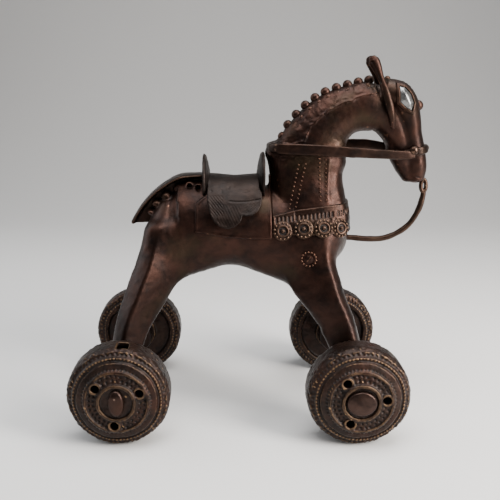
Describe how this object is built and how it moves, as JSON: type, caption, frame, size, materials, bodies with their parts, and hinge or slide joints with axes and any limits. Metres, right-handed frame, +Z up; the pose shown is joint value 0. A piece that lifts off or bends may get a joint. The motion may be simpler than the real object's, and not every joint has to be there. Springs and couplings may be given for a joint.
{
  "type": "wheeled bronze horse figurine",
  "caption": "Cast bronze horse with saddle, bridle, breast collar and a rigid lead wire, standing on hollow pierced wheels that turn on axles.",
  "frame": {"origin": "middle of the whole object's box, on the surface that the wheels stand on", "axes": "+X towards the horse's head, +Y towards its left side, +Z up; the axles lie along Y"},
  "size_m": [0.1598, 0.1038, 0.1618],
  "materials": {
    "cast_bronze": "dark brown patina, polished where handled",
    "saddle_bronze": "grey-brown patina with engraved lines",
    "trim_bronze": "brown patina with rubbed high spots",
    "burnished_eye": "rubbed bright",
    "axle_bronze": "hammered, brown",
    "wheel_bronze": "dusty golden-brown, dirt in the recesses"
  },
  "bodies": {
    "horse": {"trunk_and_legs": "cast_bronze", "neck_and_head": "cast_bronze", "saddlecloth": "saddle_bronze", "saddle_seat": "saddle_bronze", "saddle_flap_left": "saddle_bronze", "saddle_flap_right": "saddle_bronze", "cantle": "saddle_bronze", "pommel": "saddle_bronze", "tail_leaf": "saddle_bronze", "mane_beads": "trim_bronze", "ear_left": "trim_bronze", "ear_right": "trim_bronze", "poll_knob": "trim_bronze", "forehead_boss": "trim_bronze", "rein_left": "trim_bronze", "rein_right": "trim_bronze", "noseband": "trim_bronze", "noseband_knobs": "trim_bronze", "breast_collar": "trim_bronze", "collar_rosettes": "trim_bronze", "shoulder_rosette_left": "trim_bronze", "shoulder_rosette_right": "trim_bronze", "chin_ring": "trim_bronze", "lead_wire": "trim_bronze", "eye_left": "burnished_eye", "eye_right": "burnished_eye"},
    "rear_axle": {"rear_axle": "axle_bronze"},
    "front_axle": {"front_axle": "axle_bronze"},
    "wheel_rear_right": {"wheel_rear_right": "wheel_bronze"},
    "wheel_rear_left": {"wheel_rear_left": "wheel_bronze"},
    "wheel_front_right": {"wheel_front_right": "wheel_bronze"},
    "wheel_front_left": {"wheel_front_left": "wheel_bronze"}
  },
  "joints": [
    {"name": "rear_axle_turn", "type": "hinge", "parent": "horse", "child": "rear_axle", "pos_m": [-0.05795, 0, 0.022], "axis": [0, 1, 0], "continuous": true},
    {"name": "front_axle_turn", "type": "hinge", "parent": "horse", "child": "front_axle", "pos_m": [0.04405, 0, 0.022], "axis": [0, 1, 0], "continuous": true},
    {"name": "wheel_rear_right_turn", "type": "hinge", "parent": "rear_axle", "child": "wheel_rear_right", "pos_m": [-0.05795, 0, 0.022], "axis": [0, 1, 0], "continuous": true},
    {"name": "wheel_rear_left_turn", "type": "hinge", "parent": "rear_axle", "child": "wheel_rear_left", "pos_m": [-0.05795, 0, 0.022], "axis": [0, 1, 0], "continuous": true},
    {"name": "wheel_front_right_turn", "type": "hinge", "parent": "front_axle", "child": "wheel_front_right", "pos_m": [0.04405, 0, 0.022], "axis": [0, 1, 0], "continuous": true},
    {"name": "wheel_front_left_turn", "type": "hinge", "parent": "front_axle", "child": "wheel_front_left", "pos_m": [0.04405, 0, 0.022], "axis": [0, 1, 0], "continuous": true}
  ]
}
